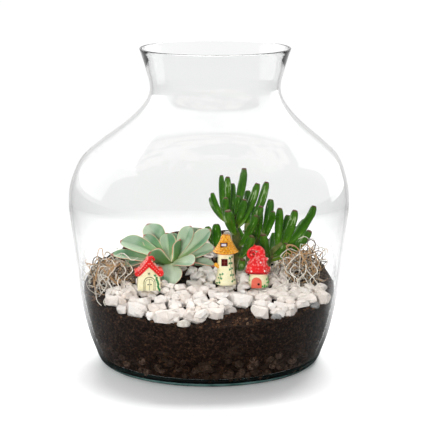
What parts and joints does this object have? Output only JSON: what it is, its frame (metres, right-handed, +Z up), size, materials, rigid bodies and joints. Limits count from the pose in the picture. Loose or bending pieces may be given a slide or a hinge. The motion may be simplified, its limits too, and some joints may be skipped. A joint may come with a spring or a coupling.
{
  "type": "glass plant terrarium",
  "caption": "Open bottle-shaped glass vase planted as a terrarium with soil, white chippings, succulents, dry moss and small painted fairy houses.",
  "frame": {"origin": "centre of the vase's flat base, on the surface that it stands on", "axes": "+Z up through the vase, +Y to the back, +X to the right as seen from the front"},
  "size_m": [0.2656, 0.2656, 0.3],
  "materials": {
    "clear_glass": "clear blown glass, smooth, faint green at the thick base",
    "soil": "dark crumbly potting soil with clay granules and bark",
    "white_stone": "matt white marble chippings",
    "grey_stone": "matt grey pebble",
    "cream_stone": "smooth cream pebble",
    "rosette_leaf": "living leaf, waxy blue-green with pink edges",
    "jade_leaf": "living leaf, glossy deep green with maroon tips",
    "dry_moss": "dry wiry grey-beige strands",
    "cream_glaze": "glossy cream painted casting",
    "orange_glaze": "glossy orange-yellow painted casting",
    "red_glaze": "glossy red painted casting"
  },
  "bodies": {
    "root": {"glass_vase": "clear_glass", "potting_soil": "soil", "white_chippings": "white_stone", "grey_pebble_front": "grey_stone", "grey_pebble_right": "grey_stone", "cream_pebble": "cream_stone", "rosette_succulent": "rosette_leaf", "finger_jade_left": "jade_leaf", "finger_jade_middle": "jade_leaf", "finger_jade_right": "jade_leaf", "dry_moss_left": "dry_moss", "dry_moss_right": "dry_moss", "tower_walls": "cream_glaze", "tower_roof": "orange_glaze", "toadstool_walls": "cream_glaze", "toadstool_cap": "red_glaze", "cottage_walls": "cream_glaze", "cottage_roof": "red_glaze"}
  },
  "joints": []
}
